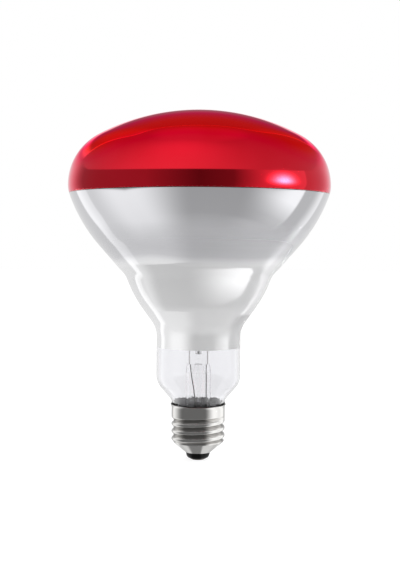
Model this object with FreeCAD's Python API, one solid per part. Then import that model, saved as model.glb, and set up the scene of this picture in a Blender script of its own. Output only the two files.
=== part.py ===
import FreeCAD, Part
import math
import os

# Infrared reflector heat lamp: a blown bulb sealed on a glass stem and cemented in a screw cap.
# Millimetres. +Z runs up the lamp's axis, the origin is the tip of the centre contact,
# and the exhaust port in the stem's press faces -Y.

# Bulb, from the crown down to the sealed tail. A slope is the angle from straight down,
# in degrees, and counts as positive where the wall leans towards the axis.
bulb_diameter = 127.0
overall_length = 169.6
glass_wall = 0.9
dome_height = 36.3
dome_shoulder_radius = 27.0
rim_radius = 12.7
rim_slope = 19.0
bowl_radius = 75.0
bowl_slope = 41.2
crease_diameter = 74.1
crease_radius = 12.0
crease_slope = 20.6
waist_radius = 59.3
waist_slope = 36.2
throat_radius = 12.5
neck_diameter = 41.0
heel_radius = 9.0
heel_slope = 40.0
foot_radius = 8.0
foot_rise = 0.9
tail_slope = 18.0
tail_depth = 6.5

# Screw cap of rolled sheet, with a knuckle thread
cap_height = 27.0
cap_sheet = 0.3
cap_rim_diameter = 27.2
cap_rim_slope = 30.0
cap_rim_fillet = 2.0
plain_band = 5.9
thread_diameter = 26.1
thread_root_diameter = 24.0
thread_pitch = 3.629
crest_land = 0.5
thread_end_angle = 100.0
runout_angle = 100.0
cap_shoulder_radius = 2.0
cap_cone_slope = 50.0
cap_lip_diameter = 12.6
cap_lip_height = 3.6

# Cement, insulator and centre contact
cement_gap = 0.3
cement_depth = 4.2
cement_bead = 0.45
cement_crown = 0.1
insulator_depth = 3.2
insulator_slope = 12.0
insulator_round = 2.2
insulator_round_end = 70.0
contact_diameter = 7.4
contact_height = 0.9
contact_edge = 0.4
eyelet_diameter = 3.0
eyelet_bore = 1.6
eyelet_rise = 1.2
solder_height = 1.2
side_solder_diameter = 2.4

# Glass stem, with the pressed end that seals the wires
stem_length = 26.2
stem_wall = 1.0
lead_spacing = 7.8
lead_margin = 1.2
press_height = 8.0
press_margin = 1.6
press_edge = 1.0
pinch_length = 4.0
exhaust_diameter = 4.0
exhaust_wall = 0.7
exhaust_clearance = 0.3
exhaust_stand_off = 3.0
port_height = 1.5

# Wires, filament and what holds it
seal_wire_diameter = 0.5
outer_lead_diameter = 0.5
inner_lead_diameter = 0.9
wire_bend = 2.0
wire_bend_share = 0.45
arbor_diameter = 3.2
arbor_socket = 3.0
arbor_length = 33.3
button_diameter = 6.4
filament_rise = 45.3
filament_ring_diameter = 30.0
filament_coil_diameter = 2.2
filament_gap_angle = 60.0
filament_tail = 3.0
support_diameter = 0.6
support_clearance = 0.05
support_angles = (0.0, 90.0, 180.0)

AXIS = FreeCAD.Vector(0, 0, 1)
CENTRE = FreeCAD.Vector(0, 0, 0)
BACK = 90.0
CUT_PAST = 1.0


def sine(degrees):
    return math.sin(math.radians(degrees))


def cosine(degrees):
    return math.cos(math.radians(degrees))


def tangent(degrees):
    return math.tan(math.radians(degrees))


# Sizes that follow from those above
bulb_radius = bulb_diameter / 2
neck_radius = neck_diameter / 2
dome_offset = bulb_radius - dome_shoulder_radius
crown_radius = (dome_offset**2 + dome_height**2 - dome_shoulder_radius**2) / (
    2 * (dome_height - dome_shoulder_radius)
)
crown_slope = -math.degrees(math.atan2(crown_radius - dome_height, dome_offset))
thread_radius = thread_diameter / 2
root_radius = thread_root_diameter / 2
thread_depth = thread_radius - root_radius
form_radius = ((thread_pitch / 2) ** 2 + thread_depth**2) / (4 * thread_depth)
land_angle = math.degrees(math.asin(crest_land / 2 / form_radius))
barrel_radius = thread_radius - form_radius * (1 - cosine(land_angle))
barrel_bore = barrel_radius - cap_sheet
shoulder_end = barrel_radius - cap_shoulder_radius * (1 - cosine(cap_cone_slope))
lip_radius = cap_lip_diameter / 2
cone_length = (shoulder_end - lip_radius) / sine(cap_cone_slope)
thread_top = cap_height - plain_band
thread_foot = (
    cap_lip_height
    + cone_length * cosine(cap_cone_slope)
    + cap_shoulder_radius * sine(cap_cone_slope)
)
cap_rim_radius = cap_rim_diameter / 2
cap_mouth_radius = cap_rim_radius - cap_sheet / cosine(cap_rim_slope)
eyelet_top = cap_lip_height + insulator_depth + eyelet_rise
seal_height = cap_height - tail_depth
tail_rim_radius = barrel_bore - cement_gap
cement_base = cap_height - cement_depth
stem_bore_radius = lead_spacing / 2 + lead_margin
stem_radius = stem_bore_radius + stem_wall
press_base = seal_height + stem_length
press_top = press_base + press_height
pinch_base = press_base - pinch_length
press_width = lead_spacing + 2 * press_margin
slit_width = press_width - 2 * stem_wall
slit_thickness = exhaust_diameter + 2 * exhaust_clearance
press_thickness = slit_thickness + 2 * stem_wall
exhaust_radius = exhaust_diameter / 2
exhaust_bore = exhaust_radius - exhaust_wall
exhaust_end = eyelet_top + exhaust_stand_off + exhaust_radius
lead_offset = lead_spacing / 2
button_height = press_top - arbor_socket + arbor_length
filament_height = press_top + filament_rise
ring_radius = filament_ring_diameter / 2
coil_radius = filament_coil_diameter / 2


def at(radius, angle, height):
    """A point by its distance from the axis, its angle from +X and its height."""
    return FreeCAD.Vector(radius * cosine(angle), radius * sine(angle), height)


def tail_radius(height):
    """The outside of the bulb's tapered tail at a height."""
    return tail_rim_radius + (height - cap_height) * tangent(tail_slope)


tail_outer = tail_radius(seal_height)
tail_inner = tail_outer - glass_wall / cosine(tail_slope)


class Outline:
    """Half of a turned section, drawn downwards as lines and tangent arcs.

    inset moves the whole outline into the wall by that much: an arc that turns towards
    the axis gets a smaller radius, and one that turns away from it a larger one.
    """

    def __init__(self, radius, height, slope, inset):
        self.inset = inset
        self.slope = slope
        self.radius = radius - inset * cosine(slope)
        self.height = height + inset * sine(slope)
        self.edges = []

    def point(self):
        return FreeCAD.Vector(self.radius, 0, self.height)

    def line(self, length):
        start = self.point()
        self.radius -= length * sine(self.slope)
        self.height -= length * cosine(self.slope)
        self.edges.append(Part.LineSegment(start, self.point()).toShape())

    def line_to_radius(self, radius):
        """A line that ends where the outline without its inset has that radius."""
        self.line((self.radius + self.inset * cosine(self.slope) - radius) / sine(self.slope))

    def line_to_height(self, height):
        self.line((self.height - height) / cosine(self.slope))

    def arc(self, radius, slope):
        turn = 1 if slope > self.slope else -1
        swing = turn * radius - self.inset
        first = self.slope
        start = self.point()
        points = []
        for angle in ((first + slope) / 2, slope):
            self.radius = start.x + swing * (cosine(angle) - cosine(first))
            self.height = start.z - swing * (sine(angle) - sine(first))
            points.append(self.point())
        self.slope = slope
        self.edges.append(Part.Arc(start, *points).toShape())


def polygon(points):
    """The edges of a path through those (radius, height) pairs."""
    places = [FreeCAD.Vector(radius, 0, height) for radius, height in points]
    return [Part.LineSegment(a, b).toShape() for a, b in zip(places, places[1:])]


def turned(edges):
    """A closed section turned about the axis."""
    return Part.Face(Part.Wire(edges)).revolve(CENTRE, AXIS, 360)


def filled(outline):
    """The whole body inside an outline, closed by flat ends and the axis."""
    top = outline.edges[0].Vertexes[0].Point
    corners = [(outline.radius, outline.height), (0, outline.height), (0, top.z)]
    if top.x > 0:
        corners.append((top.x, top.z))
    return turned(outline.edges + polygon(corners))


def disc(radius, base, top):
    return Part.makeCylinder(radius, top - base, FreeCAD.Vector(0, 0, base))


def ball(radius, height):
    return Part.makeSphere(radius, FreeCAD.Vector(0, 0, height))


def bulb_outline(inset):
    """The bulb's outer wall, or with inset its inner wall, from the crown to the seal."""
    outline = Outline(0, overall_length, -90, inset)
    outline.arc(crown_radius, crown_slope)
    outline.arc(dome_shoulder_radius, 0)
    outline.arc(rim_radius, rim_slope)
    outline.arc(bowl_radius, bowl_slope)
    outline.line_to_radius(crease_diameter / 2)
    outline.arc(crease_radius, crease_slope)
    outline.arc(waist_radius, waist_slope)
    outline.line_to_radius(neck_radius + throat_radius * (1 - cosine(waist_slope)))
    outline.arc(throat_radius, 0)
    foot_reach = tail_rim_radius + foot_rise * tangent(tail_slope)
    bend_reach = foot_reach + foot_radius * (cosine(tail_slope) - cosine(heel_slope))
    bend_rise = foot_rise + foot_radius * (sine(heel_slope) - sine(tail_slope))
    heel_end = neck_radius - heel_radius * (1 - cosine(heel_slope))
    heel_rise = (heel_end - bend_reach) / tangent(heel_slope) + heel_radius * sine(heel_slope)
    outline.line_to_height(cap_height + bend_rise + heel_rise)
    outline.arc(heel_radius, heel_slope)
    outline.line_to_radius(bend_reach)
    outline.arc(foot_radius, tail_slope)
    outline.line_to_height(seal_height)
    return outline


def make_glass_envelope():
    """One blown bulb: closed dome, reflector bowl with a crease, neck and tapered tail."""
    return filled(bulb_outline(0)).cut(filled(bulb_outline(glass_wall)))


def groove_section(inset):
    """The thread's groove: a root arc, and an equal arc on each side that rounds the crest.

    The crest arcs go on past the barrel's surface, so that they cross it cleanly.
    """
    root_centre = FreeCAD.Vector(root_radius + form_radius, 0, 0)
    lean = FreeCAD.Vector(thread_depth - 2 * form_radius, 0, thread_pitch / 2).normalize()
    crest_centre = root_centre + lean * (2 * form_radius)
    crest_swing = form_radius - inset
    past_land = FreeCAD.Vector(cosine(land_angle / 2), 0, -sine(land_angle / 2))
    root = FreeCAD.Vector(root_radius - inset, 0, 0)
    flank = root_centre + lean * (form_radius + inset)
    crest_half = crest_centre + (past_land - lean).normalize() * crest_swing
    crest_end = crest_centre + past_land * crest_swing
    corner = FreeCAD.Vector(thread_radius + CUT_PAST, 0, crest_end.z)

    def mirrored(point):
        return FreeCAD.Vector(point.x, 0, -point.z)

    return [
        Part.Arc(mirrored(flank), root, flank).toShape(),
        Part.Arc(flank, crest_half, crest_end).toShape(),
        Part.LineSegment(crest_end, corner).toShape(),
        Part.LineSegment(corner, mirrored(corner)).toShape(),
        Part.LineSegment(mirrored(corner), mirrored(crest_end)).toShape(),
        Part.Arc(mirrored(crest_end), mirrored(crest_half), mirrored(flank)).toShape(),
    ]


def groove(inset):
    """The groove carried up a right-handed helix, whose last part swings outwards to run out."""
    steps_per_turn = 24
    turns_below = 0.8
    turns = (thread_top - thread_foot) / thread_pitch + turns_below
    steps = round(turns * steps_per_turn)
    first_angle = thread_end_angle - 360 * turns
    path = []
    for step in range(steps + 1):
        turns_left = turns * (1 - step / steps)
        swing = max(0, 1 - 360 * turns_left / runout_angle)
        reach = root_radius + form_radius + (thread_depth + CUT_PAST / 4) * swing**2
        angle = thread_end_angle - 360 * turns_left
        path.append(at(reach, angle, thread_top - thread_pitch * turns_left))
    spine = Part.BSplineCurve()
    spine.interpolate(path)
    section = Part.Wire(groove_section(inset))
    section.translate(FreeCAD.Vector(0, 0, path[0].z))
    section.rotate(CENTRE, AXIS, first_angle)
    sweep = Part.BRepOffsetAPI.MakePipeShell(Part.Wire(spine.toShape()))
    sweep.setBiNormalMode(AXIS)
    sweep.add(section, False, False)
    sweep.build()
    sweep.makeSolid()
    return sweep.shape()


def cap_outline(inset):
    """The cap's sheet from its flared rim, down the barrel, to the lip round the insulator."""
    outline = Outline(cap_rim_radius, cap_height, cap_rim_slope, inset)
    outline.line_to_radius(barrel_radius + cap_rim_fillet * (1 - cosine(cap_rim_slope)))
    outline.arc(cap_rim_fillet, 0)
    outline.line_to_height(thread_foot)
    outline.arc(cap_shoulder_radius, cap_cone_slope)
    outline.line(cone_length)
    return outline


def make_cap_shell():
    """One rolled sheet: the thread shows on both faces, and the lower end is open."""
    outside = filled(cap_outline(0)).cut(groove(0))
    inside = filled(cap_outline(cap_sheet)).cut(groove(cap_sheet))
    hole = disc(lip_radius - cap_sheet, cap_lip_height - CUT_PAST, cap_lip_height + CUT_PAST)
    return outside.cut(inside).cut(hole)


def make_basing_cement(side_lead):
    """The ring of cement between the tail and the cap, with a bead up the glass at the rim."""
    flare, fillet = cap_outline(cap_sheet).edges[:2]
    flare_end = flare.Vertexes[1].Point
    barrel_top = fillet.Vertexes[1].Point.z
    bead_height = cap_height + cement_bead
    bead_foot = FreeCAD.Vector(cap_mouth_radius, 0, cap_height)
    bead_end = FreeCAD.Vector(tail_radius(bead_height), 0, bead_height)
    bead_middle = (bead_foot + bead_end) * 0.5 + FreeCAD.Vector(cement_crown, 0, cement_crown)
    outside = polygon([(cap_mouth_radius, cap_height), (flare_end.x, flare_end.z)]) + [fillet]
    inside = polygon(
        [
            (barrel_bore, barrel_top),
            (barrel_bore, cement_base),
            (tail_radius(cement_base), cement_base),
            (bead_end.x, bead_height),
        ]
    )
    bead = Part.Arc(bead_end, bead_middle, bead_foot).toShape()
    return turned(outside + inside + [bead]).cut(side_lead)


def make_cap_insulator():
    """Black glass that fills the cap's lower end and stands out below its lip, rounded."""
    hole = lip_radius - cap_sheet
    tip = contact_height - contact_edge
    top = cap_lip_height + insulator_depth
    seat = cap_outline(cap_sheet).point()
    top_radius = seat.x + (top - seat.z) * tangent(cap_cone_slope)
    round_drop = insulator_round * (sine(insulator_round_end) - sine(insulator_slope))
    outside = Outline(hole, cap_lip_height, insulator_slope, 0)
    outside.line_to_height(tip + round_drop)
    outside.arc(insulator_round, insulator_round_end)
    inside = polygon(
        [
            (outside.radius, outside.height),
            (contact_diameter / 2, tip),
            (contact_diameter / 2, contact_height),
            (eyelet_diameter / 2, contact_height),
            (eyelet_diameter / 2, top),
            (top_radius, top),
            (seat.x, seat.z),
            (hole, seat.z),
            (hole, cap_lip_height),
        ]
    )
    return turned(outside.edges + inside)


def make_centre_contact():
    """A pressed disc with a rounded edge and a hollow shank through the insulator."""
    rim = contact_diameter / 2
    outside = Outline(rim, contact_edge, 0, 0)
    outside.arc(contact_edge, 90)
    inside = polygon(
        [
            (outside.radius, outside.height),
            (eyelet_bore / 2, outside.height),
            (eyelet_bore / 2, eyelet_top),
            (eyelet_diameter / 2, eyelet_top),
            (eyelet_diameter / 2, contact_height),
            (rim, contact_height),
            (rim, contact_edge),
        ]
    )
    return turned(outside.edges + inside)


def slot_wire(width, thickness, height):
    """A slot-shaped section: two straight sides and two half-round ends."""
    end = thickness / 2
    side = width / 2 - end
    right = [FreeCAD.Vector(x, y, height) for x, y in ((side, -end), (width / 2, 0), (side, end))]
    left = [FreeCAD.Vector(-p.x, -p.y, height) for p in right]
    edges = [
        Part.Arc(*right).toShape(),
        Part.LineSegment(right[2], left[0]).toShape(),
        Part.Arc(*left).toShape(),
        Part.LineSegment(left[2], right[0]).toShape(),
    ]
    return Part.Wire(edges)


def round_wire(radius, height):
    """A circle in four arcs, which pair with the ends and sides of a slot."""
    arcs = []
    for first in (-45, 45, 135, 225):
        places = [at(radius, first + turn, height) for turn in (0, 45, 90)]
        arcs.append(Part.Arc(*places).toShape())
    return Part.Wire(arcs)


def pinched(radius, width, thickness):
    """The stretch where a round section is squeezed into a slot."""
    sections = [round_wire(radius, pinch_base), slot_wire(width, thickness, press_base)]
    return Part.makeLoft(sections, True, True)


def make_stem_glass(seal_wires):
    """Flared tube whose upper end is pressed flat round the seal wires, with an exhaust port."""
    curve_height = seal_height + tail_inner - stem_radius

    def trumpet(radius):
        swing = tail_inner - radius
        middle = FreeCAD.Vector(tail_inner - swing * cosine(45), 0, curve_height - swing * sine(45))
        foot = FreeCAD.Vector(tail_inner, 0, curve_height - swing)
        return Part.Arc(FreeCAD.Vector(radius, 0, curve_height), middle, foot).toShape()

    flare_foot = seal_height - stem_wall
    tube_wall = polygon(
        [
            (stem_bore_radius, curve_height),
            (stem_bore_radius, pinch_base),
            (stem_radius, pinch_base),
            (stem_radius, curve_height),
        ]
    )
    seal = polygon(
        [
            (tail_inner, seal_height),
            (tail_outer, seal_height),
            (tail_outer, flare_foot),
            (tail_inner, flare_foot),
        ]
    )
    tube = turned(tube_wall + [trumpet(stem_radius)] + seal + [trumpet(stem_bore_radius)])
    pinch = pinched(stem_radius, press_width, press_thickness)
    pinch = pinch.cut(pinched(stem_bore_radius, slit_width, slit_thickness))
    press = Part.Face(slot_wire(press_width, press_thickness, press_base)).extrude(AXIS * press_height)
    upper_edges = [edge for edge in press.Edges if edge.BoundBox.ZMin > press_top - press_edge]
    stem = tube.fuse([pinch, press.makeFillet(press_edge, upper_edges)]).removeSplitter()
    port_floor = FreeCAD.Vector(0, 0, press_base + port_height)
    port = disc(exhaust_bore, press_base, port_floor.z).fuse(
        Part.makeCylinder(exhaust_bore, press_thickness, port_floor, FreeCAD.Vector(0, -1, 0))
    )
    socket = disc(arbor_diameter / 2, press_top - arbor_socket, press_top + CUT_PAST)
    return stem.cut([port, socket] + seal_wires)


def make_exhaust_tube():
    """The glass tube inside the stem, tipped off to a round end above the centre contact."""
    tube = disc(exhaust_radius, exhaust_end, press_base).fuse(ball(exhaust_radius, exhaust_end))
    bore = disc(exhaust_bore, exhaust_end, press_base).fuse(ball(exhaust_bore, exhaust_end))
    return tube.removeSplitter().cut(bore)


def bent_path(points, bend):
    """Straight runs through those points, with a tangent arc at each corner."""
    edges = []
    start = points[0]
    for before, corner, after in zip(points, points[1:], points[2:]):
        arriving = corner - before
        leaving = after - corner
        half_turn = arriving.getAngle(leaving) / 2
        shorter = min(arriving.Length, leaving.Length)
        trim = min(bend * math.tan(half_turn), wire_bend_share * shorter)
        radius = trim / math.tan(half_turn)
        enter = corner - arriving.normalize() * trim
        leave = corner + leaving.normalize() * trim
        inward = (enter + leave - corner * 2).normalize()
        middle = corner + inward * (radius / math.cos(half_turn) - radius)
        edges.append(Part.LineSegment(start, enter).toShape())
        edges.append(Part.Arc(enter, middle, leave).toShape())
        start = leave
    edges.append(Part.LineSegment(start, points[-1]).toShape())
    return Part.Wire(edges)


def rod(points, diameter, bend):
    """A round wire bent through those points."""
    ring = Part.Wire(Part.makeCircle(diameter / 2, points[0], points[1] - points[0]))
    return bent_path(points, bend).makePipeShell([ring], True, False)


def make_seal_wire(side):
    """The stretch of lead-in wire that the press grips. side is 1 for +X and -1 for -X."""
    foot = FreeCAD.Vector(side * lead_offset, 0, press_base)
    return Part.makeCylinder(seal_wire_diameter / 2, press_height, foot)


def make_centre_lead():
    """From the left seal wire down past the exhaust tube to the solder in the centre contact."""
    beside = exhaust_radius + outer_lead_diameter + exhaust_clearance
    points = [
        FreeCAD.Vector(-lead_offset, 0, press_base),
        FreeCAD.Vector(-lead_offset, 0, pinch_base + wire_bend),
        FreeCAD.Vector(-beside / 3, -beside, seal_height + stem_radius),
        FreeCAD.Vector(-beside / 3, -beside, exhaust_end - exhaust_radius),
        FreeCAD.Vector(0, 0, eyelet_top + exhaust_stand_off / 2),
        FreeCAD.Vector(0, 0, solder_height),
    ]
    return rod(points, outer_lead_diameter, wire_bend)


def side_lead_end():
    """On top of the cement, midway between the glass and the cap's rim, at the back."""
    height = cap_height + cement_bead
    return at((tail_radius(height) + cap_mouth_radius) / 2, BACK, height)


def make_side_lead():
    """From the right seal wire, under the flare and up through the cement to the cap's rim."""
    under = seal_height - stem_wall - 2 * outer_lead_diameter
    beside = (tail_outer + root_radius - cap_sheet) / 2
    flare_base = cap_outline(cap_sheet).edges[1].Vertexes[1].Point
    points = [
        FreeCAD.Vector(lead_offset, 0, press_base),
        FreeCAD.Vector(lead_offset, 0, under),
        at(beside, BACK, under),
        at(beside, BACK, seal_height),
        at((tail_radius(flare_base.z) + flare_base.x) / 2, BACK, flare_base.z),
        side_lead_end(),
    ]
    return rod(points, outer_lead_diameter, wire_bend / 2)


def make_side_solder(neighbours):
    """The bead that joins the side lead to the cap's rim: what of a ball lies clear of them."""
    bead = Part.makeSphere(side_solder_diameter / 2, side_lead_end())
    return max(bead.cut(neighbours).Solids, key=lambda solid: solid.Volume)


def coil_end(side):
    """Where the filament's coil ends, and the way on past its end, round the ring."""
    angle = -90 + side * filament_gap_angle / 2
    onward = FreeCAD.Vector(sine(angle), -cosine(angle), 0) * side
    return at(ring_radius, angle, filament_height), onward


def make_filament_coil():
    """The coiled filament, as a tube of the coil's outer diameter, bent into an open ring."""
    start, onward = coil_end(1)
    section = Part.Face(Part.Wire(Part.makeCircle(coil_radius, start, onward)))
    return section.revolve(CENTRE, AXIS, 360 - filament_gap_angle)


def make_inner_lead(side):
    """From the press up to one end of the filament, which it meets end to end."""
    end, onward = coil_end(side)
    approach = end + onward * filament_tail
    foot = FreeCAD.Vector(side * lead_offset, 0, press_top)
    knee = FreeCAD.Vector(side * lead_offset, 0, button_height - button_diameter)
    below = FreeCAD.Vector(approach.x, approach.y, filament_height - 2 * filament_tail)
    return rod([foot, knee, below, approach, end], inner_lead_diameter, wire_bend)


def make_filament_support(angle):
    """A hook from the arbor's button that holds the coil in a loop."""
    wire_radius = support_diameter / 2
    loop_radius = coil_radius + support_clearance + wire_radius
    around = FreeCAD.Vector(-sine(angle), cosine(angle), 0)
    loop = Part.makeTorus(loop_radius, wire_radius, at(ring_radius, angle, filament_height), around)
    foot = at(button_diameter / 4, angle, button_height)
    elbow = at(ring_radius / 2, angle, button_height)
    tip = at(ring_radius, angle, filament_height - loop_radius)
    return rod([foot, elbow, tip], support_diameter, wire_bend).fuse(loop).removeSplitter()


def make_arbor_rod(supports):
    """The glass rod on the press, with a melted button that grips the filament's supports."""
    shank = disc(arbor_diameter / 2, press_top - arbor_socket, button_height)
    return shank.fuse(ball(button_diameter / 2, button_height)).removeSplitter().cut(supports)


def build():
    """Every piece by its name."""
    envelope = make_glass_envelope()
    shell = make_cap_shell()
    side_lead = make_side_lead()
    cement = make_basing_cement(side_lead)
    seal_wires = [make_seal_wire(side) for side in (-1, 1)]
    supports = [make_filament_support(angle) for angle in support_angles]
    pieces = {
        "glass_envelope": envelope,
        "cap_shell": shell,
        "basing_cement": cement,
        "side_lead": side_lead,
        "side_solder": make_side_solder([envelope, shell, cement, side_lead]),
        "cap_insulator": make_cap_insulator(),
        "centre_contact": make_centre_contact(),
        "centre_solder": disc(eyelet_bore / 2, 0, solder_height),
        "centre_lead": make_centre_lead(),
        "stem_glass": make_stem_glass(seal_wires),
        "seal_wire_left": seal_wires[0],
        "seal_wire_right": seal_wires[1],
        "exhaust_tube": make_exhaust_tube(),
        "arbor_rod": make_arbor_rod(supports),
        "inner_lead_left": make_inner_lead(-1),
        "inner_lead_right": make_inner_lead(1),
        "filament_coil": make_filament_coil(),
    }
    for number, support in enumerate(supports, 1):
        pieces[f"filament_support_{number}"] = support
    return pieces


os.makedirs("parts", exist_ok=True)
for name, shape in build().items():
    shape.exportStep(f"parts/{name}.step")
    print(name, len(shape.Solids), shape.isValid(), round(shape.Volume, 3))
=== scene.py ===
"""An infrared reflector heat lamp in a light tent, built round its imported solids.

Metres, +Z up the lamp's axis from the tip of its contact, and -Y towards the viewer.
Sizes are written in millimetres and turned to metres as each mesh is made.
"""
import math

import bmesh
import bpy
import numpy as np
from mathutils import Euler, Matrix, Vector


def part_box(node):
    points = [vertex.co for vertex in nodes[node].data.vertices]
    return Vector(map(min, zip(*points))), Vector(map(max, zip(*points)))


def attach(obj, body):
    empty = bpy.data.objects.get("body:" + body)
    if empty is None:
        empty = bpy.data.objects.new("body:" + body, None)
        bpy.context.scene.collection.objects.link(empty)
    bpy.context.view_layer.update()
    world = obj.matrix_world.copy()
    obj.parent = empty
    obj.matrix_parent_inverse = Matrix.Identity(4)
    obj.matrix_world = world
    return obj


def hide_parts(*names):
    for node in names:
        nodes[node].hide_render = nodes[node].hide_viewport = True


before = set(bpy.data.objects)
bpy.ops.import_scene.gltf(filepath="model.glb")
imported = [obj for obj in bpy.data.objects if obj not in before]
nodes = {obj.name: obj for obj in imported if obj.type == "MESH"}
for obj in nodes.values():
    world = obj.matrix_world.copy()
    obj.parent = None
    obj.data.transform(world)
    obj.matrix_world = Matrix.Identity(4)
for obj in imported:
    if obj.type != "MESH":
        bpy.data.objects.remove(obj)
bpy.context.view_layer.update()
MM = 0.001
FULL_TURN = 360.0


def size(node):
    """A node's lowest and highest corner in millimetres."""
    low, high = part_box(node)
    return np.array(low) / MM, np.array(high) / MM


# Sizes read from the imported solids, in millimetres
bulb_low, bulb_high = size("glass_envelope")
cap_low, cap_high = size("cap_shell")
cement_low, cement_high = size("basing_cement")
bulb_radius = bulb_high[0]
crown_height = bulb_high[2]
seal_height = bulb_low[2]
cap_height = cap_high[2]
cap_rim_radius = cap_high[0]
cap_lip_height = cap_low[2]
cement_foot = cement_low[2]
cement_top = cement_high[2]

# The bulb's wall, from the crown down. A slope is the angle from straight down in degrees,
# and counts as positive where the wall leans towards the axis.
glass_wall = 0.9
dome_height = 36.3
dome_shoulder_radius = 27.0
rim_radius = 12.7
rim_slope = 19.0
bowl_radius = 75.0
bowl_slope = 41.2
crease_reach = 37.05
crease_radius = 12.0
crease_slope = 20.6
waist_radius = 59.3
waist_slope = 36.2
throat_radius = 12.5
neck_radius = 20.5
heel_radius = 9.0
heel_slope = 40.0
foot_radius = 8.0
foot_rise = 0.9
tail_slope = 18.0
tail_rim_radius = 12.42
ripple_height = 0.012
ripple_fade = 20.0

# Where the coatings end, as heights on the bulb, and where the red turns down into its flank
red_edge = 129.7
bare_line = 0.45
mirror_edge = 55.2
gloss_start = 150.0
gloss_full = 138.0
flush_start = 148.0
flush_full = 140.0

# The rolled cap
cap_sheet = 0.3
cap_rim_slope = 30.0
cap_rim_fillet = 2.0
thread_radius = 13.05
thread_root_radius = 12.0
thread_pitch = 3.629
crest_land = 0.5
plain_band = 5.9
thread_end_angle = 4.0
runout_angle = 100.0
runout_lift = 0.25
cap_shoulder_radius = 2.0
cap_cone_slope = 50.0
cap_lip_radius = 6.3
cone_top = 8.6
# How far above the cone the painted shade in the thread's grooves fades in
groove_shade_fade = 1.0
thread_depth = thread_radius - thread_root_radius
thread_arc = ((thread_pitch / 2) ** 2 + thread_depth**2) / (4 * thread_depth)

# The cement: how far it climbs the glass at the back, how lumpy it is, and its rounded upper edge
cement_climb = 1.3
cement_lump = 0.16
cement_clearance = 0.03
bead_reach = 0.75
bead_fall = 2.0

# How finely the surfaces are drawn
bulb_step = 0.9
bulb_inner_step = 1.8
bulb_columns = 232
cap_step = 0.17
cap_columns = 288
cement_rows = 14
cement_columns = 360
largest_bend = 3.0
sharp_angle = 40.0
merge_distance = 0.0001

# The tent and the floor. A way runs out over the floor and then up the tent's wall.
tent_radius = 140.0
tent_wall_height = 420.0
tent_top = 520.0
tent_wall_rows = 211
tent_roof_rows = 31
floor_hole = 2.0
floor_reach = 4000.0
floor_rings = 160
studio_turns = np.arange(-180, 180, 1.0)
lower_wall_end = 219.0
roof_start = 163.5
strobe_level = 30.0
strobe_turn = 59.0
strobe_height = 134.0
strobe_spread = 7.0
strobe_rise = 14.0

# The cards close to the lamp, each by its gap to the lamp's wall and its span of turns in degrees
card_thickness = 0.4
cap_card_radius = 17.0
cap_card_foot = 1.0
cap_card_top = 26.5
cap_card_rows = 4
waist_card_gap = 1.7
waist_card_drop = 1.1
waist_card_turns = (-50, 57)
waist_card_rows = 60
waist_low = 72.5
waist_high = 92.3
crease_rise = 1.4
neck_card_gap = 2.0
neck_card_turns = (50, 125)
neck_card_rows = 12
neck_card_foot = mirror_edge - 1
neck_card_top = waist_low - 3

# The camera
camera_distance = 487.8
camera_height = 103.6
camera_side = 0.44
camera_drop = 2.145
camera_roll = -0.35
lens_length = 63.16
nearest_seen = 10.0
farthest_seen = 20000.0
glass_bounces = 24


def sine(degrees):
    return np.sin(np.radians(degrees))


def cosine(degrees):
    return np.cos(np.radians(degrees))


def ease(value, start, end):
    """0 up to start, 1 from end on, and a smooth rise between them."""
    share = np.clip((value - start) / (end - start), 0, 1)
    return share * share * (3 - 2 * share)


def bell(value, centre, spread):
    """1 at the centre, and falling off to both sides as a bell curve."""
    return np.exp(-(((value - centre) / spread) ** 2))


def along(way, *stops):
    """A level that runs straight between (way, level) stops."""
    ways, levels = zip(*stops)
    return np.interp(way, ways, levels)


def blended(level, other, share):
    """A level that goes over to another one as the share goes from 0 to 1."""
    return level + (other - level) * share


class Section:
    """Half of a turned section, drawn downwards as lines and tangent arcs, as rows of (radius, height).

    inset moves the whole outline into the wall: an arc that turns towards the axis gets a smaller
    radius, and one that turns away from it a larger one.
    """

    def __init__(self, radius, height, slope, inset, step):
        self.inset = inset
        self.slope = slope
        self.step = step
        place = (radius - inset * cosine(slope), height + inset * sine(slope))
        self.rows = np.array([place])

    def line(self, length):
        """A straight run along the slope, in even steps."""
        shares = np.linspace(0, 1, math.ceil(length / self.step) + 1)[1:, None]
        way = np.array([[-sine(self.slope), -cosine(self.slope)]])
        self.rows = np.concatenate([self.rows, self.rows[-1] + shares * length * way])

    def line_to_radius(self, radius):
        """A line that ends where the outline without its inset has that radius."""
        self.line((self.rows[-1, 0] + self.inset * cosine(self.slope) - radius) / sine(self.slope))

    def line_to_height(self, height):
        self.line((self.rows[-1, 1] - height) / cosine(self.slope))

    def arc(self, radius, slope):
        """A tangent arc to a new slope: a point of it lies its radius from the centre, across its slope."""
        swing = (radius if slope > self.slope else -radius) - self.inset
        turn = abs(slope - self.slope)
        length = abs(swing) * math.radians(turn)
        count = math.ceil(max(length / self.step, turn / largest_bend)) + 1
        slopes = np.linspace(self.slope, slope, count)[1:]
        radii = self.rows[-1, 0] + swing * (cosine(slopes) - cosine(self.slope))
        heights = self.rows[-1, 1] - swing * (sine(slopes) - sine(self.slope))
        self.rows = np.concatenate([self.rows, np.stack([radii, heights], 1)])
        self.slope = slope


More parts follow.
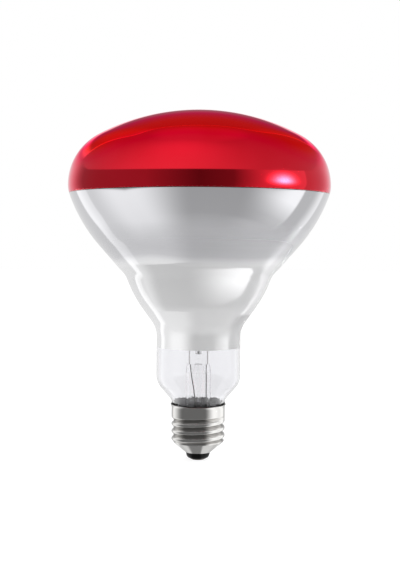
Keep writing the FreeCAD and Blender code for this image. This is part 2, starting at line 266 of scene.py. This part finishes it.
def bulb_section(inset):
    """The bulb's outer wall, or with inset its inner wall, from the crown to the seal."""
    offset = bulb_radius - dome_shoulder_radius
    crown_radius = (offset**2 + dome_height**2 - dome_shoulder_radius**2) / (
        2 * (dome_height - dome_shoulder_radius)
    )
    crown_slope = -math.degrees(math.atan2(crown_radius - dome_height, offset))
    foot_reach = tail_rim_radius + foot_rise * math.tan(math.radians(tail_slope))
    bend_reach = foot_reach + foot_radius * (cosine(tail_slope) - cosine(heel_slope))
    bend_rise = foot_rise + foot_radius * (sine(heel_slope) - sine(tail_slope))
    heel_end = neck_radius - heel_radius * (1 - cosine(heel_slope))
    heel_run = (heel_end - bend_reach) / math.tan(math.radians(heel_slope))
    heel_rise = heel_run + heel_radius * sine(heel_slope)
    section = Section(0, crown_height, -90, inset, bulb_inner_step if inset else bulb_step)
    section.arc(crown_radius, crown_slope)
    section.arc(dome_shoulder_radius, 0)
    section.arc(rim_radius, rim_slope)
    section.arc(bowl_radius, bowl_slope)
    section.line_to_radius(crease_reach)
    section.arc(crease_radius, crease_slope)
    section.arc(waist_radius, waist_slope)
    section.line_to_radius(neck_radius + throat_radius * (1 - cosine(waist_slope)))
    section.arc(throat_radius, 0)
    section.line_to_height(cap_height + bend_rise + heel_rise)
    section.arc(heel_radius, heel_slope)
    section.line_to_radius(bend_reach)
    section.arc(foot_radius, tail_slope)
    section.line_to_height(seal_height)
    return section.rows


def bulb_reach(heights):
    """The bulb's outer radius at those heights, read off its section."""
    wall = bulb_section(0)[::-1]
    return np.interp(heights, wall[:, 1], wall[:, 0])


def with_rows_at(rows, heights):
    """The same section with a row added at each of those heights."""
    added = np.array([[np.interp(-height, -rows[:, 1], rows[:, 0]), height] for height in heights])
    both = np.concatenate([rows, added])
    return both[np.argsort(-both[:, 1], kind="stable")]


def around(radii, heights, angles):
    """Points by distance from the axis, height, and angle in degrees from +X, in metres."""
    return np.stack([radii * cosine(angles), radii * sine(angles), heights + 0 * angles], -1) * MM


def round_angles(columns):
    """Even angles once round the axis, in degrees."""
    return np.arange(columns) * FULL_TURN / columns


def grid(name, points, closed):
    """A piece over a grid of points that wraps round in its columns, and if closed also in its rows."""
    rows, columns = points.shape[:2]
    index = np.arange(rows * columns).reshape(rows, columns)
    if closed:
        index = np.concatenate([index, index[:1]])
    beside = np.roll(index, -1, 1)
    quads = np.stack([index[:-1], index[1:], beside[1:], beside[:-1]], -1).reshape(-1, 4)
    mesh = bpy.data.meshes.new(name)
    mesh.from_pydata(points.reshape(-1, 3).tolist(), [], quads.tolist())
    piece = bpy.data.objects.new(name, mesh)
    bpy.context.scene.collection.objects.link(piece)
    return piece


def skin(name, points, closed):
    """A smooth piece over a grid of points, with its faces pointing outwards.

    Rows that shrink to a point become a pole.
    """
    piece = grid(name, points, closed)
    mesh = piece.data
    work = bmesh.new()
    work.from_mesh(mesh)
    bmesh.ops.remove_doubles(work, verts=work.verts, dist=merge_distance * MM)
    bmesh.ops.recalc_face_normals(work, faces=work.faces)
    work.to_mesh(mesh)
    work.free()
    mesh.polygons.foreach_set("use_smooth", np.ones(len(mesh.polygons), bool))
    mesh.set_sharp_from_angle(angle=math.radians(sharp_angle))
    return piece


def set_level(piece, name, values):
    """Keep a number for every point of a piece."""
    layer = piece.data.attributes.new(name, "FLOAT", "POINT")
    layer.data.foreach_set("value", values.astype(np.float32).ravel())


def places(items, key):
    """The places of a mesh's points, or of the middles of its faces, in millimetres."""
    values = np.empty(3 * len(items))
    items.foreach_get(key, values)
    return values.reshape(-1, 3) / MM


def linear(hex_colour):
    """An sRGB hex colour as linear red, green, blue and alpha."""
    parts = np.array([int(hex_colour[place:place + 2], 16) for place in (1, 3, 5)]) / 255
    values = np.where(parts <= 0.04045, parts / 12.92, ((parts + 0.055) / 1.055) ** 2.4)
    return (*values.tolist(), 1.0)


def add(tree, kind, settings=None, **inputs):
    """Add a node with its settings and links.

    settings are its properties, and inputs its sockets' values or the sockets that they link from. An
    input's underscores stand for spaces, and a number after in_ picks a socket by its place.
    """
    node = tree.nodes.new(kind)
    for key, value in (settings or {}).items():
        setattr(node, key, value)
    for key, value in inputs.items():
        socket = node.inputs[int(key[3:]) if key.startswith("in_") else key.replace("_", " ")]
        if isinstance(value, bpy.types.NodeSocket):
            tree.links.new(value, socket)
        else:
            socket.default_value = value
    return node


def new_material(name):
    """A material, and its node tree with nothing in it."""
    material = bpy.data.materials.new(name)
    material.use_nodes = True
    material.node_tree.nodes.clear()
    return material, material.node_tree


def finished(tree, shader):
    """Link the shader to the material's output."""
    add(tree, "ShaderNodeOutputMaterial", Surface=shader.outputs[0])


def ramp(tree, factor, stops):
    """A colour ramp from (place, hex colour) stops."""
    node = add(tree, "ShaderNodeValToRGB", Fac=factor)
    elements = node.color_ramp.elements
    while len(elements) < len(stops):
        elements.new(0.5)
    for element, (place, colour) in zip(elements, stops):
        element.position = place
        element.color = linear(colour)
    return node.outputs["Color"]


def red_lacquer():
    """Transparent red lacquer over a metal film: a deep candy red that mirrors its surroundings.

    On the flank, seen flat, the clear surface mirrors more and the red goes over to pink.
    """
    material, tree = new_material("red_lacquer_on_metal_film")
    place = add(tree, "ShaderNodeTexCoord").outputs["Object"]
    cloud_width = 26 * MM
    cloud = add(tree, "ShaderNodeTexNoise", Vector=place, Scale=1 / cloud_width, Detail=2.0)
    colour = ramp(tree, cloud.outputs["Fac"], [(0.3, "#e41127"), (0.7, "#ee1730")])
    height = add(tree, "ShaderNodeSeparateXYZ", Vector=place).outputs["Z"]
    gloss = add(
        tree,
        "ShaderNodeMapRange",
        Value=height,
        From_Min=gloss_start * MM,
        From_Max=gloss_full * MM,
        To_Min=0.08,
        To_Max=0.6,
    )
    flush = add(
        tree,
        "ShaderNodeMapRange",
        Value=height,
        From_Min=flush_start * MM,
        From_Max=flush_full * MM,
    )
    shader = add(
        tree,
        "ShaderNodeBsdfPrincipled",
        Base_Color=colour,
        Metallic=1.0,
        Roughness=0.06,
        Specular_Tint=ramp(tree, flush.outputs[0], [(0.0, "#ff70a0"), (1.0, "#ffccdc")]),
        Coat_Weight=gloss.outputs[0],
        Coat_Roughness=0.03,
        Coat_IOR=1.3,
    )
    finished(tree, shader)
    return material


def aluminised_glass():
    """Aluminium film behind glass: a soft grey mirror, less metallic towards the neck, with painted light
    in its colour by height.
    """
    material, tree = new_material("aluminium_film_on_glass")
    place = add(tree, "ShaderNodeTexCoord").outputs["Object"]
    height = add(tree, "ShaderNodeSeparateXYZ", Vector=place).outputs["Z"]
    share = add(
        tree,
        "ShaderNodeMapRange",
        Value=height,
        From_Min=mirror_edge * MM,
        From_Max=red_edge * MM,
    ).outputs[0]
    wave_width = 30 * MM
    wave = add(tree, "ShaderNodeTexNoise", Vector=place, Scale=1 / wave_width, Detail=0.0)
    shift = add(tree, "ShaderNodeMapRange", Value=wave.outputs["Fac"], To_Min=-0.03, To_Max=0.03)
    border = add(tree, "ShaderNodeMath", {"operation": "ADD"}, in_0=share, in_1=shift.outputs[0])
    # Painted light: paler on the waist and neck below the crease, a thin paler line along the slightly wavy
    # crease, and darker grey over the bowl
    stops = [
        (0.1, "#f3f3f4"),
        (0.3, "#ebebec"),
        (0.535, "#e9e9ea"),
        (0.55, "#eeeeef"),
        (0.57, "#e8e8ea"),
        (0.6, "#d0d0d3"),
        (0.64, "#cbcbce"),
        (0.8, "#d0d0d3"),
    ]
    film = add(tree, "ShaderNodeMapRange", Value=share, From_Min=0.65, From_Max=0.8, To_Min=0.6)
    shader = add(
        tree,
        "ShaderNodeBsdfPrincipled",
        Base_Color=ramp(tree, border.outputs[0], stops),
        Metallic=film.outputs[0],
        Roughness=0.07,
    )
    finished(tree, shader)
    return material


def clear_glass(name, tint, bending):
    """Clear glass, fire-polished: seen by its edges, and by what it bends behind it."""
    material, tree = new_material(name)
    shader = add(
        tree,
        "ShaderNodeBsdfPrincipled",
        Base_Color=linear(tint),
        Roughness=0.0,
        IOR=bending,
        Transmission_Weight=1.0,
    )
    finished(tree, shader)
    return material


def nickel_plate():
    """Nickel plating on rolled sheet: bright on the crests, with painted shade darkening the thread's
    grooves.
    """
    material, tree = new_material("nickel_plated_rolled_sheet")
    place = add(tree, "ShaderNodeTexCoord").outputs["Object"]
    groove = add(tree, "ShaderNodeAttribute", {"attribute_name": "groove"}).outputs["Fac"]
    stain_width = 4 * MM
    stain = add(tree, "ShaderNodeTexNoise", Vector=place, Scale=1 / stain_width, Detail=4.0)
    shine = add(tree, "ShaderNodeMapRange", Value=stain.outputs["Fac"], To_Min=0.1, To_Max=0.24)
    # Painted shade: the deeper a point lies in a groove, the darker the nickel's colour
    stops = [(0.3, "#d2d1cf"), (0.7, "#b3b1ae"), (1.0, "#8a8885")]
    shader = add(
        tree,
        "ShaderNodeBsdfPrincipled",
        Base_Color=ramp(tree, groove, stops),
        Metallic=1.0,
        Roughness=shine.outputs[0],
    )
    finished(tree, shader)
    return material


def metal(name, colours, roughness, grain):
    """Drawn, pressed or melted metal: its colours drift over patches of that grain in millimetres."""
    material, tree = new_material(name)
    place = add(tree, "ShaderNodeTexCoord").outputs["Object"]
    patches = add(tree, "ShaderNodeTexNoise", Vector=place, Scale=1 / (grain * MM), Detail=4.0)
    shader = add(
        tree,
        "ShaderNodeBsdfPrincipled",
        Base_Color=ramp(tree, patches.outputs["Fac"], [(0.35, colours[0]), (0.65, colours[1])]),
        Metallic=1.0,
        Roughness=roughness,
    )
    finished(tree, shader)
    return material


def cement():
    """Heat-proof basing cement: dark, matt and gritty."""
    material, tree = new_material("dark_basing_cement")
    place = add(tree, "ShaderNodeTexCoord").outputs["Object"]
    grit_width = 0.5 * MM
    grit_depth = 0.1 * MM
    grit = add(tree, "ShaderNodeTexNoise", Vector=place, Scale=1 / grit_width, Detail=3.0)
    bump = add(tree, "ShaderNodeBump", Height=grit.outputs["Fac"], Strength=0.6, Distance=grit_depth)
    shader = add(
        tree,
        "ShaderNodeBsdfPrincipled",
        Base_Color=ramp(tree, grit.outputs["Fac"], [(0.3, "#121110"), (0.7, "#2b2928")]),
        Roughness=0.85,
        Normal=bump.outputs["Normal"],
    )
    finished(tree, shader)
    return material


def black_glass():
    """Fused black glass: opaque, with a fire-polished gloss."""
    material, tree = new_material("fused_black_glass")
    place = add(tree, "ShaderNodeTexCoord").outputs["Object"]
    flow_width = 3 * MM
    flow = add(tree, "ShaderNodeTexNoise", Vector=place, Scale=1 / flow_width, Detail=2.0)
    shader = add(
        tree,
        "ShaderNodeBsdfPrincipled",
        Base_Color=ramp(tree, flow.outputs["Fac"], [(0.3, "#030303"), (0.7, "#0a0a0b")]),
        Roughness=0.1,
        IOR=1.5,
        Specular_IOR_Level=0.2,
    )
    finished(tree, shader)
    return material


def blown_ripple(radii, heights, angles):
    """A blown wall is never quite round: three sine waves added up, 2, 3 and 5 of them to a turn.

    Each twists along the axis. Together they are at most 0.036 mm high, and they fade out at the pole.
    """
    waves = (
        np.sin(np.radians(2 * angles) + heights / 23)
        + np.sin(np.radians(3 * angles) - heights / 17 + 1.3)
        + np.sin(np.radians(5 * angles) + heights / 13 + 2.1)
    )
    return ripple_height * waves * ease(radii, 0, ripple_fade)


def make_bulb():
    """The blown bulb as one closed wall: a section of (radius, height) rows turned about the axis.

    The outer wall runs down from the crown to the seal, and the inner wall back up to the crown.
    """
    borders = [red_edge, red_edge - bare_line, mirror_edge]
    outer = with_rows_at(bulb_section(0), borders)
    inner = with_rows_at(bulb_section(glass_wall), borders)[::-1]
    section = np.concatenate([outer, inner])
    angles = round_angles(bulb_columns)
    radii = section[:, :1] + 0 * angles
    heights = section[:, 1:]
    points = around(radii + blown_ripple(radii, heights, angles), heights, angles)
    bulb = skin("bulb_envelope", points, False)
    for material in (red_lacquer(), aluminised_glass(), clear_glass("clear_blown_glass", "#fafafc", 1.5)):
        bulb.data.materials.append(material)
    red, mirror, clear = range(3)
    heights = places(bulb.data.polygons, "center")[:, 2]
    zone = np.where(heights > red_edge, red, np.where(heights > red_edge - bare_line, clear, mirror))
    zone = np.where(heights < mirror_edge, clear, zone)
    bulb.data.polygons.foreach_set("material_index", zone.astype(np.int32))
    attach(bulb, "root")
    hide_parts("glass_envelope")


def thread_reach(heights, angles, inset):
    """The threaded wall's distance from the axis: equal root and crest arcs along a right-handed helix.

    A groove's middle drops by the pitch in each turn, and swings outwards to run out at its upper end.
    """
    turned_back = np.mod((thread_end_angle - angles) / FULL_TURN, 1)
    groove = np.maximum(np.round((cap_height - plain_band - heights) / thread_pitch - turned_back), 0)
    turns_left = groove + turned_back
    off_middle = np.abs(heights - (cap_height - plain_band - thread_pitch * turns_left))
    root_arc = thread_arc + inset
    crest_arc = thread_arc - inset
    flank = root_arc * thread_pitch / (4 * thread_arc)
    from_crest = np.clip(thread_pitch / 2 - off_middle, -crest_arc, crest_arc)
    root = thread_root_radius + thread_arc - np.sqrt(np.maximum(root_arc**2 - off_middle**2, 0))
    crest = thread_radius - thread_arc + np.sqrt(np.maximum(crest_arc**2 - from_crest**2, 0))
    wave = np.where(off_middle < flank, root, crest)
    wave = np.where(off_middle > thread_pitch / 2, thread_radius + thread_depth, wave)
    swing = np.maximum(1 - FULL_TURN * turns_left / runout_angle, 0)
    return wave + (thread_depth + runout_lift) * swing**2


def cap_section(inset):
    """The cap's sheet from its flared rim, down the barrel, to the lip round the insulator."""
    land_angle = math.degrees(math.asin(crest_land / 2 / thread_arc))
    barrel = thread_radius - thread_arc * (1 - cosine(land_angle))
    shoulder_end = barrel - cap_shoulder_radius * (1 - cosine(cap_cone_slope))
    cone_length = (shoulder_end - cap_lip_radius) / sine(cap_cone_slope)
    cone_rise = cone_length * cosine(cap_cone_slope)
    foot = cap_lip_height + cone_rise + cap_shoulder_radius * sine(cap_cone_slope)
    section = Section(cap_rim_radius, cap_height, cap_rim_slope, inset, cap_step)
    section.line_to_radius(barrel + cap_rim_fillet * (1 - cosine(cap_rim_slope)))
    section.arc(cap_rim_fillet, 0)
    section.line_to_height(foot)
    section.arc(cap_shoulder_radius, cap_cone_slope)
    section.line(cone_length)
    return section.rows


def make_cap():
    """The rolled cap as one closed sheet: the smaller of its plain section and the thread's wave.

    Its "groove" attribute is how deep a point lies below the crests, from 0 to 1, above the cone, and sets
    the painted shade in the grooves.
    """
    angles = round_angles(cap_columns)
    walls = []
    for inset in (0.0, cap_sheet):
        rows = cap_section(inset)
        plain = rows[:, :1] + 0 * angles
        reach = np.minimum(plain, thread_reach(rows[:, 1:], angles, inset))
        walls.append(around(reach, rows[:, 1:], angles))
    points = np.concatenate([walls[0], walls[1][::-1]])
    cap = skin("screw_cap", points, True)
    corners = places(cap.data.vertices, "co")
    depth = (thread_radius - np.hypot(corners[:, 0], corners[:, 1])) / thread_depth
    # The groove depth sets the painted shade in the grooves, faded in above the cone
    set_level(cap, "groove", np.clip(depth, 0, 1) * ease(corners[:, 2], cone_top, cone_top + groove_shade_fade))
    cap.data.materials.append(nickel_plate())
    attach(cap, "root")
    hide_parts("cap_shell")


def make_cement():
    """The ring of cement between glass and cap, which follows the glass inside and the sheet outside.

    At the back it was pressed out past the rim, and climbs the glass unevenly, by a sum of sine waves,
    to an edge that is rounded as a square root.
    """
    angles = round_angles(cement_columns)
    behind = ease(sine(angles), -0.35, 0.45)
    lumps = (
        sine(7 * angles + 40)
        + 0.8 * sine(11 * angles)
        + 0.7 * sine(23 * angles + 70)
        + 0.6 * sine(37 * angles)
    )
    top = cement_top + behind * (cement_climb + cement_lump * lumps)
    share = np.linspace(0, 1, cement_rows)[:, None]
    rise = cement_foot + (top - cement_foot) * share
    fall = top + (cement_foot - top) * share
    inner = bulb_reach(rise) + cement_clearance
    roundness = np.sqrt(np.clip((top - fall) / bead_fall, 0, 1))
    bead = bulb_reach(fall) + cement_clearance + bead_reach * roundness
    bore = thread_radius - cap_sheet - cement_clearance
    outer = np.where(fall > cap_height, bead, np.minimum(bead, bore))
    points = np.concatenate([around(inner, rise, angles), around(outer, fall, angles)])
    ring = skin("cement_ring", points, True)
    ring.data.materials.append(cement())
    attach(ring, "root")
    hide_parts("basing_cement")


def dress(material, *names):
    """Give those solids a material."""
    for name in names:
        mesh = nodes[name].data
        mesh.materials.clear()
        mesh.materials.append(material)


def dress_inner_pieces():
    """Finishes for the solids that keep their packed form."""
    # Drawn glass, which bends light a little less than the bulb's, so that thin walls stay faint
    dress(clear_glass("clear_drawn_glass", "#ffffff", 1.36), "stem_glass", "exhaust_tube", "arbor_rod")
    dress(black_glass(), "cap_insulator")
    # Brass pressed from sheet and dulled in use: a dark warm grey
    dress(metal("pressed_brass", ("#4a3d28", "#5a4a32"), 0.4, 2.0), "centre_contact")
    # Solder that froze as it ran: a soft grey shine
    solder = metal("lead_free_solder", ("#8d8d90", "#a3a3a6"), 0.35, 0.8)
    dress(solder, "centre_solder", "side_solder")
    # Copper wire browned by the flame: a dark and nearly grey line through the glass
    copper = metal("oxidised_copper_wire", ("#4a4644", "#5a5552"), 0.5, 1.0)
    dress(copper, "centre_lead", "side_lead")
    # The wire in the press, wetted by the glass: pale and bright
    sealing_wire = metal("bright_sealing_wire", ("#dcd8d6", "#e8e4e2"), 0.3, 1.0)
    dress(sealing_wire, "seal_wire_left", "seal_wire_right")
    # Bare drawn nickel: a warm grey shine
    nickel = metal("bare_nickel_wire", ("#8f8c86", "#a3a09a"), 0.3, 1.0)
    supports = [name for name in nodes if name.startswith("filament_support")]
    dress(nickel, "inner_lead_left", "inner_lead_right", *supports)
    # Wound tungsten, burnt in: dark grey
    dress(metal("tungsten_wire", ("#4a4a4e", "#5c5c60"), 0.4, 0.6), "filament_coil")


def tent_cloth():
    """Cloth that lets light through: each point gives off the light level of its "glow" attribute.

    Through clear glass it looks paler, because there its levels are drawn in towards white.
    """
    material, tree = new_material("tent_cloth")
    material.cycles.emission_sampling = "NONE"
    glow = add(tree, "ShaderNodeAttribute", {"attribute_name": "glow"}).outputs["Fac"]
    path = add(tree, "ShaderNodeLightPath")
    pale = add(tree, "ShaderNodeMapRange", {"clamp": False}, Value=glow, To_Min=0.3, To_Max=1.05)
    level = add(
        tree,
        "ShaderNodeMix",
        {"data_type": "FLOAT"},
        Factor=path.outputs["Is Transmission Ray"],
        A=glow,
        B=pale.outputs[0],
    )
    finished(tree, add(tree, "ShaderNodeEmission", Strength=level.outputs["Result"]))
    return material


def floor_paper():
    """White paper: the camera sees a white sheet with the lamp's shadow.

    The lamp sees the light level of the floor's "glow" attribute.
    """
    material, tree = new_material("floor_paper")
    material.cycles.emission_sampling = "NONE"
    glow = add(tree, "ShaderNodeAttribute", {"attribute_name": "glow"})
    seen = add(tree, "ShaderNodeEmission", Strength=glow.outputs["Fac"])
    white = add(tree, "ShaderNodeEmission", Strength=0.86)
    paper = add(tree, "ShaderNodeBsdfDiffuse", Color=linear("#959595"))
    sheet = add(tree, "ShaderNodeAddShader", in_0=white.outputs[0], in_1=paper.outputs[0])
    path = add(tree, "ShaderNodeLightPath")
    mix = add(
        tree,
        "ShaderNodeMixShader",
        Fac=path.outputs["Is Camera Ray"],
        in_1=seen.outputs[0],
        in_2=sheet.outputs[0],
    )
    finished(tree, mix)
    return material


def lower_light(turn, way):
    """The light of the floor and the lower wall, which the mirror and the neck see.

    A dim front, bright cloth on the left and a window on the right. Further round, a fold or a frame, then
    a bright strip on each side, and pale cloth behind the lamp.
    """
    # Low down the strips lean away from the front, and the window starts nearer to it
    lean = 9 * (1 - ease(way, 150, 205))
    above = ease(way, 130, 150)
    front = along(way, (50, 0.7), (100, 0.68), (150, 0.52), (213, 0.5))
    left_cloth = along(way, (50, 0.95), (100, 1.0), (140, 1.15), (226, 1.28))
    window = along(way, (60, 0.7), (145, 0.76), (172, 0.85), (191, 1.1), (212, 1.45))
    right_strip = turn - lean
    left_strip = -turn - lean
    level = blended(front, left_cloth, ease(-turn, 5, 50))
    level = blended(level, window, ease(turn, 20 + 10 * above, 60 + 17 * above))
    level = blended(level, 0.72, ease(turn, 84.5, 86))
    level = blended(level, 1.2, ease(right_strip, 98, 114))
    level = blended(level, 0.95, ease(-turn, 64, 92))
    level = blended(level, 1.2 + 0.2 * ease(left_strip, 96, 110), ease(left_strip, 94, 96.5))
    level = blended(level, 0.86, np.maximum(ease(right_strip, 114.5, 117), ease(left_strip, 110.5, 113)))
    return blended(level, 0.84, ease(np.abs(turn), 132, 150))


def upper_light(turn):
    """The light of the upper wall, which the red flank sees: darkest in front, and pale on the right."""
    aside = np.abs(turn)
    level = along(turn, (-120, 0.8), (-95, 0.34), (-35, 0.34), (0, 0.13), (22, 0.2), (45, 0.8), (80, 0.95))
    level = blended(level, 0.66, ease(turn, 81, 82.5))
    level = blended(level, 0.9, ease(aside, 100, 125))
    return blended(level, 0.3, ease(aside, 150, 165))


def roof_light(turn, height):
    """The light of the roof, which the red dome sees.

    It is brightest in front, a little to the left. Behind the lamp hangs a dimmer panel with round upper
    corners and a bright border.
    """
    aside = np.abs(turn)
    level = 0.58 + 0.4 * bell(turn, -18, 45) * (1 - 0.35 * ease(height, 240, 470))
    level = blended(level, 0.72, ease(height, 420, 500))
    inward = np.clip(1 - np.where(turn < 0, (aside - 108) / 32, (aside - 128) / 22), 0, None)
    upward = np.clip(1 - (400 - height) / 80, 0, None)
    panel = ease(1 - np.hypot(inward, upward), 0, 0.11) * ease(height, 180, 215)
    backdrop = along(height, (200, 0.28), (245, 0.46), (300, 0.54))
    backdrop = backdrop + 0.22 * (1 - ease(aside, 122, 155))
    return blended(level, backdrop, panel) + 3.2 * panel * (1 - panel)


def cap_light(turn):
    """The light of the card round the cap: dark in front, white on both sides, and grey behind."""
    level = 0.19 + 1.1 * ease(-turn, 44, 84) + 1.3 * ease(turn, 18, 47) - 0.2 * bell(turn, 66, 9)
    return blended(level, 0.6, ease(np.abs(turn), 86, 104))


def waist_light(turn, height):
    """The light of the card round the waist: a white end on the right of its front, and grey round that.

    The white grows upwards and to the right, up to an edge that slants with the waist's wall.
    """
    edge = along(height, (73, 20), (77, 28), (80, 40), (85, 43), (90, 45.5), (91.4, 44.5), (92.2, 41))
    patch = ease(turn, -10, 36) * (1 - ease(turn, edge - 1.5, edge + 1.5))
    patch = patch * (1 - 0.8 * ease(height, waist_high, waist_high + 0.5))
    level = 0.62 + 0.85 * patch * np.clip((height - 75) / 12, 0, 1) + 0.1 * ease(-height, -76, -72.5)
    return level + 0.4 * ease(-turn, 34, 52)


def studio_light(turn, way):
    """How bright the floor and the tent are, by the turn from the viewer towards +X in degrees,
    and by the way in millimetres out over the floor and then up the wall.

    Lower wall, upper wall and roof follow each other, and both borders rise towards the back. Under the
    cap the floor has the light of the cap's card, and on the right stands one small strobe.
    """
    height = way - tent_radius
    aside = np.abs(turn)
    border = lower_wall_end + 0.62 * np.maximum(aside - 55, 0)
    wall = blended(lower_light(turn, way), upper_light(turn), ease(way, border, border + 7))
    side = ease(aside, 88, 120)
    rising = ease(height, roof_start + 10 * side, roof_start + 2.5 + 30 * side)
    level = blended(wall, roof_light(turn, height), rising)
    level = blended(level, 0.1 + np.minimum(cap_light(1.2 * turn), 0.8), 1 - ease(way, 12, 16))
    strobe = bell(turn, strobe_turn, strobe_spread) * bell(height, strobe_height, strobe_rise)
    return level + strobe_level * strobe


def make_tent():
    """A round tent of white cloth: a straight wall, and a roof that closes over it as a quarter ellipse."""
    wall = np.linspace(0, tent_wall_height, tent_wall_rows)
    rise = np.linspace(0, 90, tent_roof_rows)[1:]
    roof = tent_wall_height + (tent_top - tent_wall_height) * sine(rise)
    heights = np.concatenate([wall, roof])[:, None]
    radii = np.concatenate([tent_radius + 0 * wall, tent_radius * cosine(rise)])[:, None]
    tent = grid("light_tent", around(radii, heights, studio_turns - 90), False)
    set_level(tent, "glow", studio_light(studio_turns, tent_radius + heights))
    tent.data.materials.append(tent_cloth())
    tent.visible_camera = False


def make_card(name, radii, heights, turns, levels):
    """A card that stands round the lamp, and that only its bright surfaces see."""
    card = grid(name, around(radii, heights, turns - 90), False)
    set_level(card, "glow", levels)
    card.data.materials.append(tent_cloth())
    card.visible_camera = False
    card.visible_diffuse = False
    card.visible_transmission = False
    card.visible_shadow = False


def make_cap_card():
    """A straight ring round the cap."""
    heights = np.linspace(cap_card_foot, cap_card_top, cap_card_rows)[:, None] + 0 * studio_turns
    levels = cap_light(studio_turns) + 0 * heights
    make_card("cap_card", cap_card_radius + 0 * heights, heights, studio_turns, levels)


def there_and_back(first, last):
    """Turns along a card's inner face and back along its outer face, and how far out each stands."""
    span = np.linspace(first, last, 2 * (last - first) + 1)
    return np.concatenate([span, span[::-1]]), np.repeat([0, card_thickness], span.size)


def make_waist_card():
    """A card that follows the waist's wall at an even gap, with a wavy upper edge along the crease."""
    turns, thickness = there_and_back(*waist_card_turns)
    top = waist_high + crease_rise * (1 - ease(turns, 8, 30) + bell(turns, 0, 22))
    heights = waist_low + np.linspace(0, 1, waist_card_rows)[:, None] * (top - waist_low)
    radii = bulb_reach(heights) + waist_card_gap + thickness
    make_card("waist_card", radii, heights - waist_card_drop, turns, waist_light(turns, heights))


def make_neck_card():
    """A grey card that follows the neck's wall on the right."""
    turns, thickness = there_and_back(*neck_card_turns)
    heights = np.linspace(neck_card_foot, neck_card_top, neck_card_rows)[:, None] + 0 * turns
    radii = bulb_reach(heights) + neck_card_gap + thickness
    make_card("neck_card", radii, heights, turns, 0.5 + 0.15 * ease(turns, 66, 84) + 0 * heights)


def make_floor():
    """A round floor: rings whose distance from the axis grows step by step, out to the horizon."""
    radii = np.geomspace(floor_hole, floor_reach, floor_rings)[:, None]
    floor = grid("floor", around(radii, 0 * radii, studio_turns - 90), False)
    set_level(floor, "glow", studio_light(studio_turns, np.minimum(radii, tent_radius)))
    floor.data.materials.append(floor_paper())


def make_world():
    """White behind everything."""
    world = bpy.data.worlds.new("white_backdrop")
    world.use_nodes = True
    tree = world.node_tree
    tree.nodes.clear()
    light = add(tree, "ShaderNodeBackground", Color=linear("#ffffff"), Strength=1.0)
    add(tree, "ShaderNodeOutputWorld", Surface=light.outputs[0])
    bpy.context.scene.world = world


def make_camera():
    """Level with the bowl, a little off the axis, looking slightly down."""
    data = bpy.data.cameras.new("camera")
    data.lens = lens_length
    data.clip_start = nearest_seen * MM
    data.clip_end = farthest_seen * MM
    camera = bpy.data.objects.new("camera", data)
    camera.location = (camera_side * MM, -camera_distance * MM, camera_height * MM)
    camera.rotation_euler = Euler((math.radians(90 - camera_drop), math.radians(camera_roll), 0))
    bpy.context.scene.collection.objects.link(camera)
    bpy.context.scene.camera = camera


make_bulb()
make_cap()
make_cement()
dress_inner_pieces()
make_tent()
make_cap_card()
make_waist_card()
make_neck_card()
make_floor()
make_world()
make_camera()
bpy.context.scene.view_settings.view_transform = "Standard"
bpy.context.scene.cycles.max_bounces = glass_bounces
bpy.context.scene.cycles.transmission_bounces = glass_bounces
